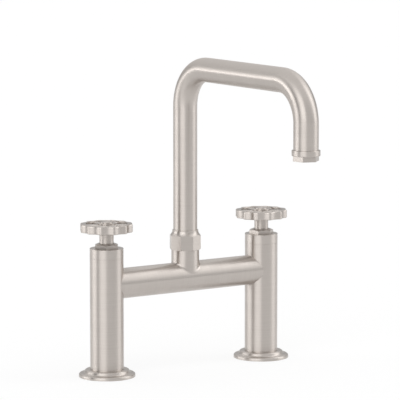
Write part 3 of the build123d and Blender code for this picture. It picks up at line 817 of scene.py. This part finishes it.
def between(nodes, links, factor, dark, light):
    """Colour that runs from dark to light with the factor."""
    mix = nodes.new("ShaderNodeMix")
    mix.data_type = "RGBA"
    mix.inputs["A"].default_value = (*dark, 1)
    mix.inputs["B"].default_value = (*light, 1)
    links.new(factor, mix.inputs["Factor"])
    return mix.outputs["Result"]


def spread(nodes, links, value, low, high):
    """Number that runs from low to high as a noise runs through its usual middle range."""
    span = nodes.new("ShaderNodeMapRange")
    span.inputs["From Min"].default_value = 0.3
    span.inputs["From Max"].default_value = 0.7
    span.inputs["To Min"].default_value = low
    span.inputs["To Max"].default_value = high
    links.new(value, span.inputs["Value"])
    return span.outputs["Result"]


def bumped(nodes, links, bsdf, height, distance):
    """Leads a height into the surface's normal."""
    bump = nodes.new("ShaderNodeBump")
    bump.inputs["Strength"].default_value = 1.0
    bump.inputs["Distance"].default_value = distance
    links.new(height, bump.inputs["Height"])
    links.new(bump.outputs["Normal"], bsdf.inputs["Normal"])


def brushed_nickel(strokes):
    """Warm grey plate, brushed round each piece: strokes change tone, roughness and normal, and
    the gloss is drawn out across them."""
    material, nodes, links, bsdf = new_material("brushed_nickel")
    lay = nodes.new("ShaderNodeAttribute")
    lay.attribute_name = "lay"
    group = nodes.new("ShaderNodeGroup")
    group.node_tree = strokes
    links.new(lay.outputs["Vector"], group.inputs["Vector"])
    stroke = nodes.new("ShaderNodeTangent")
    stroke.direction_type = "UV_MAP"
    stroke.uv_map = "stroke"
    links.new(stroke.outputs["Tangent"], bsdf.inputs["Tangent"])
    tone = spread(nodes, links, group.outputs["Streaks"], 0, 1)
    colour = between(nodes, links, tone, (0.525, 0.482, 0.448), (0.575, 0.532, 0.498))
    links.new(colour, bsdf.inputs["Base Color"])
    links.new(spread(nodes, links, group.outputs["Drift"], 0.33, 0.39), bsdf.inputs["Roughness"])
    bumped(nodes, links, bsdf, group.outputs["Streaks"], 0.000003)
    bsdf.inputs["Metallic"].default_value = 1.0
    bsdf.inputs["Anisotropic"].default_value = 0.9
    return material


def plain_metal(name, strokes, dark, light, rough):
    """Machined metal seen only inside: fine turning marks in height order."""
    material, nodes, links, bsdf = new_material(name)
    place = nodes.new("ShaderNodeTexCoord")
    group = nodes.new("ShaderNodeGroup")
    group.node_tree = strokes
    links.new(place.outputs["Object"], group.inputs["Vector"])
    tone = spread(nodes, links, group.outputs["Streaks"], 0, 1)
    links.new(between(nodes, links, tone, dark, light), bsdf.inputs["Base Color"])
    roughness = spread(nodes, links, group.outputs["Drift"], rough - 0.05, rough + 0.05)
    links.new(roughness, bsdf.inputs["Roughness"])
    bumped(nodes, links, bsdf, group.outputs["Streaks"], 0.000005)
    bsdf.inputs["Metallic"].default_value = 1.0
    return material


def plain_solid(name, dark, light, rough, grain, depth):
    """Moulded or lapped material: a fine noise changes tone, roughness and normal."""
    material, nodes, links, bsdf = new_material(name)
    place = nodes.new("ShaderNodeTexCoord")
    noise = nodes.new("ShaderNodeTexNoise")
    noise.inputs["Scale"].default_value = grain
    noise.inputs["Detail"].default_value = 3.0
    links.new(place.outputs["Object"], noise.inputs["Vector"])
    tone = spread(nodes, links, noise.outputs["Fac"], 0, 1)
    links.new(between(nodes, links, tone, dark, light), bsdf.inputs["Base Color"])
    roughness = spread(nodes, links, noise.outputs["Fac"], rough - 0.06, rough + 0.06)
    links.new(roughness, bsdf.inputs["Roughness"])
    bumped(nodes, links, bsdf, noise.outputs["Fac"], depth)
    return material


# ------------------------------------------------------------------ stage
def make_floor():
    """Plain white floor that keeps a soft shadow."""
    reach = FLOOR_REACH
    mesh = bpy.data.meshes.new("floor")
    corners = [(-reach, -reach), (reach, -reach), (reach, reach), (-reach, reach)]
    mesh.from_pydata([(x, y, -FLOOR_GAP) for x, y in corners], [], [(0, 1, 2, 3)])
    material = bpy.data.materials.new("floor")
    material.use_nodes = True
    nodes, links = material.node_tree.nodes, material.node_tree.links
    bsdf = nodes["Principled BSDF"]
    bsdf.inputs["Base Color"].default_value = (0.92, 0.92, 0.92, 1)
    bsdf.inputs["Roughness"].default_value = 1.0
    bsdf.inputs["Specular IOR Level"].default_value = 0.0
    glow = nodes.new("ShaderNodeEmission")
    path = nodes.new("ShaderNodeLightPath")
    seen = nodes.new("ShaderNodeMath")
    seen.operation = "MAXIMUM"
    links.new(path.outputs["Is Camera Ray"], seen.inputs[0])
    links.new(path.outputs["Is Glossy Ray"], seen.inputs[1])
    through = nodes.new("ShaderNodeMath")
    through.operation = "MAXIMUM"
    links.new(seen.outputs["Value"], through.inputs[0])
    links.new(path.outputs["Is Transmission Ray"], through.inputs[1])
    share = nodes.new("ShaderNodeMath")
    share.operation = "MULTIPLY"
    share.inputs[1].default_value = FLOOR_GLOW
    links.new(through.outputs["Value"], share.inputs[0])
    mix = nodes.new("ShaderNodeMixShader")
    links.new(share.outputs["Value"], mix.inputs["Fac"])
    links.new(bsdf.outputs["BSDF"], mix.inputs[1])
    links.new(glow.outputs["Emission"], mix.inputs[2])
    links.new(mix.outputs["Shader"], nodes["Material Output"].inputs["Surface"])
    mesh.materials.append(material)
    floor = bpy.data.objects.new("floor", mesh)
    bpy.context.scene.collection.objects.link(floor)


def smooth_step(nodes, links, value, low, high):
    """0 below low, 1 above high, smooth between; low may be the larger."""
    step = nodes.new("ShaderNodeMapRange")
    step.interpolation_type = "SMOOTHSTEP"
    rising = low < high
    step.inputs["From Min"].default_value = min(low, high)
    step.inputs["From Max"].default_value = max(low, high)
    step.inputs["To Min"].default_value = 0.0 if rising else 1.0
    step.inputs["To Max"].default_value = 1.0 if rising else 0.0
    links.new(value, step.inputs["Value"])
    return step.outputs["Result"]


def joined(nodes, links, operation, first, second):
    """Two numbers joined by one operation; the second may be a constant."""
    math_node = nodes.new("ShaderNodeMath")
    math_node.operation = operation
    links.new(first, math_node.inputs[0])
    if isinstance(second, (int, float)):
        math_node.inputs[1].default_value = second
    else:
        links.new(second, math_node.inputs[1])
    return math_node.outputs["Value"]


def make_sky():
    """Studio light: a plain level that grows towards the top, with upright soft boxes. A soft
    box's strength fades with the angle to its bearing and with height."""
    world = bpy.data.worlds.new("studio")
    bpy.context.scene.world = world
    world.use_nodes = True
    nodes, links = world.node_tree.nodes, world.node_tree.links
    place = nodes.new("ShaderNodeTexCoord")
    split = nodes.new("ShaderNodeSeparateXYZ")
    links.new(place.outputs["Generated"], split.inputs["Vector"])
    level = nodes.new("ShaderNodeCombineXYZ")
    links.new(split.outputs["X"], level.inputs["X"])
    links.new(split.outputs["Y"], level.inputs["Y"])
    flat = nodes.new("ShaderNodeVectorMath")
    flat.operation = "NORMALIZE"
    links.new(level.outputs["Vector"], flat.inputs[0])
    top = smooth_step(nodes, links, split.outputs["Z"], 0.0, SKY_FULL)
    total = joined(nodes, links, "MULTIPLY", top, SKY_TOP - SKY_LEVEL)
    total = joined(nodes, links, "ADD", total, SKY_LEVEL)
    for bearing, half_width, softness, strength, fade_from, fade_to in SOFT_PANELS:
        turn = math.radians(CAMERA_YAW + 180 - bearing)
        facing = nodes.new("ShaderNodeVectorMath")
        facing.operation = "DOT_PRODUCT"
        links.new(flat.outputs["Vector"], facing.inputs[0])
        facing.inputs[1].default_value = (math.sin(turn), math.cos(turn), 0)
        edge_out = math.cos(math.radians(half_width + softness))
        edge_in = math.cos(math.radians(max(half_width - softness, 0)))
        window = smooth_step(nodes, links, facing.outputs["Value"], edge_out, edge_in)
        height = smooth_step(nodes, links, split.outputs["Z"], fade_to, fade_from)
        box = joined(nodes, links, "MULTIPLY", window, height)
        box = joined(nodes, links, "MULTIPLY", box, strength)
        total = joined(nodes, links, "ADD", total, box)
    total = joined(nodes, links, "MAXIMUM", total, 0.0)
    background = nodes["Background"]
    links.new(total, background.inputs["Color"])


def make_camera():
    """Camera at the photograph's viewing angle."""
    data = bpy.data.cameras.new("camera")
    data.lens = CAMERA_LENS
    data.sensor_width = 36.0
    data.clip_end = 100.0
    camera = bpy.data.objects.new("camera", data)
    camera.location = CAMERA_PLACE
    camera.rotation_euler = (math.radians(90 - CAMERA_PITCH), 0, -math.radians(CAMERA_YAW))
    bpy.context.scene.collection.objects.link(camera)
    bpy.context.scene.camera = camera


# ------------------------------------------------------------------ assembly
def dress_nodes(materials):
    """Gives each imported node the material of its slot."""
    for row in frame["record"]["subparts"]:
        node = frame["nodes"][row["node"]]
        node.data.materials.clear()
        node.data.materials.append(materials[row["material_slot"]])


def build():
    """Materials, pieces, stage and camera."""
    strokes = streaks_group()
    materials = {
        "brushed_nickel": brushed_nickel(strokes),
        "bare_brass": plain_metal("bare_brass", strokes, (0.62, 0.46, 0.22), (0.74, 0.57, 0.30), 0.28),
        "stainless_steel": plain_metal(
            "stainless_steel", strokes, (0.52, 0.52, 0.51), (0.64, 0.64, 0.63), 0.3
        ),
        "valve_ceramic": plain_solid(
            "valve_ceramic", (0.84, 0.82, 0.78), (0.90, 0.89, 0.86), 0.2, 900, 0.000002
        ),
        "white_nylon": plain_solid(
            "white_nylon", (0.80, 0.80, 0.77), (0.88, 0.88, 0.86), 0.5, 700, 0.00001
        ),
        "rubber": plain_solid("rubber", (0.022, 0.022, 0.022), (0.035, 0.035, 0.034), 0.65, 500, 0.00002),
    }
    dress_nodes(materials)
    nickel = materials["brushed_nickel"]
    for side in ("left", "right"):
        for name, make in (
            ("base_flange", base_flange),
            ("post", post),
            ("post_cap", post_cap),
            ("bonnet_nut", bonnet_nut),
        ):
            add_piece(f"{side}_{name}_skin", [make(side)], "faucet_body", nickel, f"{side}_{name}")
        handle = f"{side}_handle"
        add_piece(f"{side}_handle_hub_skin", [handle_hub(side)], handle, nickel, f"{side}_handle_hub")
        add_piece(f"{side}_handwheel_skin", handwheel(side), handle, nickel, f"{side}_handwheel")
        add_piece(f"{side}_index_cap_skin", [index_cap(side)], handle, nickel, f"{side}_index_cap")
    for name, make, body in (
        ("bridge_tube", bridge_tube, "faucet_body"),
        ("spout_socket", spout_socket, "faucet_body"),
        ("spout_nut", spout_nut, "faucet_body"),
        ("spout_tube", spout_tube, "spout"),
        ("aerator_housing", aerator_housing, "spout"),
    ):
        add_piece(f"{name}_skin", [make()], body, nickel, name)
    make_floor()
    make_sky()
    make_camera()
    bpy.context.scene.view_settings.view_transform = "Standard"


build()
